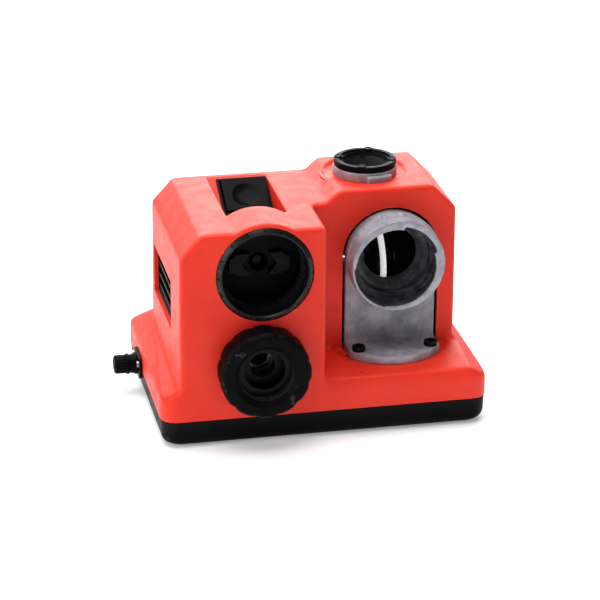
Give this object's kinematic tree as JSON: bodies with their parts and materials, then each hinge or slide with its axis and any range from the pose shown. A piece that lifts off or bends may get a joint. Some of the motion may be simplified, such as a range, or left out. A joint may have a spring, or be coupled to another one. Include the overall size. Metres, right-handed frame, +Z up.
{
  "type": "drill bit sharpener",
  "caption": "Bench drill grinder with a rocker switch, a drill setting port, a parked collet chuck, a swivelling point grinding port and a web thinning port on top.",
  "frame": {"origin": "on the bench, at the middle of the four bench holes in the base", "axes": "+X to the operator's right, along the motor shaft; +Y away from the operator, so the ports open towards -Y; +Z up"},
  "size_m": [0.2272, 0.1588, 0.157],
  "materials": {
    "shell_orange": "satin moulded orange-red plastic",
    "black_plastic": "satin moulded black plastic",
    "rocker_plastic": "semi-gloss black",
    "rubber_foot": "matte",
    "cast_alloy": "die-cast, lightly blasted",
    "black_screw": "black oxide",
    "steel": "machined",
    "lamination": "stacked laminations",
    "copper_winding": "enamelled copper",
    "abrasive_rim": "plated abrasive grit",
    "capacitor_case": "white moulded"
  },
  "bodies": {
    "housing": {"base_tray": "black_plastic", "base_feet": "rubber_foot", "foot_screws": "steel", "shell_screws": "steel", "body_shell": "shell_orange", "vent_grille": "black_plastic", "switch_housing": "black_plastic", "setting_port_housing": "black_plastic", "setting_stop": "steel", "storage_socket": "black_plastic", "stator_core": "lamination", "stator_windings": "copper_winding", "motor_cap_front": "cast_alloy", "motor_cap_rear": "cast_alloy", "bearing_front": "steel", "bearing_rear": "steel", "motor_bolts": "steel", "motor_bracket": "steel", "bracket_screws": "steel", "dust_partition": "steel", "run_capacitor": "capacitor_case", "capacitor_clip": "steel", "terminal_block": "capacitor_case", "gland_plate": "black_plastic", "gland_body": "black_plastic", "gland_nut": "black_plastic", "gland_screws": "steel"},
    "rocker": {"switch_rocker": "rocker_plastic"},
    "setting_ring": {"setting_port_ring": "black_plastic"},
    "finger_left": {"alignment_finger_left": "black_screw"},
    "finger_right": {"alignment_finger_right": "black_screw"},
    "chuck": {"chuck_body": "black_plastic"},
    "chuck_grip": {"chuck_grip_ring": "black_plastic", "draw_sleeve": "black_screw"},
    "collet_sleeve": {"collet": "steel"},
    "port_swivel": {"grinding_port_bracket": "cast_alloy", "port_clamp_plate": "steel", "port_screws": "black_screw"},
    "thinning_port": {"thinning_port_base": "cast_alloy", "thinning_port_ring": "black_plastic", "thinning_ring_screws": "steel", "thinning_retainer": "steel"},
    "spindle": {"motor_shaft": "steel", "rotor_core": "lamination", "cooling_fan": "black_plastic", "wheel_hub": "cast_alloy", "wheel_rim": "abrasive_rim", "wheel_flange": "steel", "wheel_nut": "steel"}
  },
  "joints": [
    {"name": "rocker_tilt", "type": "hinge", "parent": "housing", "child": "rocker", "pos_m": [-0.0365, 0.01538, 0.1308], "axis": [-1, 0, 0], "range_deg": [0, 16]},
    {"name": "setting_ring_turn", "type": "hinge", "parent": "housing", "child": "setting_ring", "pos_m": [-0.04, -0.065, 0.113], "axis": [0, -1, 0], "range_deg": [-40, 40]},
    {"name": "finger_left_slide", "type": "slide", "parent": "housing", "child": "finger_left", "axis": [-1, 0, 0], "range_m": [-0.0031, 0.0031]},
    {"name": "finger_right_slide", "type": "slide", "parent": "housing", "child": "finger_right", "axis": [1, 0, 0], "range_m": [-0.0031, 0.0031]},
    {"name": "chuck_lift_out", "type": "slide", "parent": "housing", "child": "chuck", "axis": [0, -1, 0], "range_m": [0, 0.05]},
    {"name": "chuck_grip_turn", "type": "hinge", "parent": "chuck", "child": "chuck_grip", "pos_m": [-0.042, -0.08, 0.0535], "axis": [0, -1, 0], "range_deg": [0, 360]},
    {"name": "collet_travel", "type": "slide", "parent": "chuck", "child": "collet_sleeve", "axis": [0, 1, 0], "range_m": [0, 0.0015]},
    {"name": "port_swivel_turn", "type": "hinge", "parent": "housing", "child": "port_swivel", "pos_m": [0.0495, -0.022, 0.04], "axis": [0, 0, 1], "range_deg": [-10, 10]},
    {"name": "thinning_port_turn", "type": "hinge", "parent": "housing", "child": "thinning_port", "pos_m": [0.0405, 0.008, 0.15], "axis": [0, 0, 1], "range_deg": [-15, 15]},
    {"name": "spindle_spin", "type": "hinge", "parent": "housing", "child": "spindle", "pos_m": [0, 0.005, 0.088], "axis": [1, 0, 0], "continuous": true}
  ],
  "couplings": [
    {"joint": "finger_left_slide", "follows": "setting_ring_turn", "m_per_rad": 0.0042972},
    {"joint": "finger_right_slide", "follows": "setting_ring_turn", "m_per_rad": 0.0042972},
    {"joint": "collet_travel", "follows": "chuck_grip_turn", "m_per_rad": 0.00022282}
  ]
}
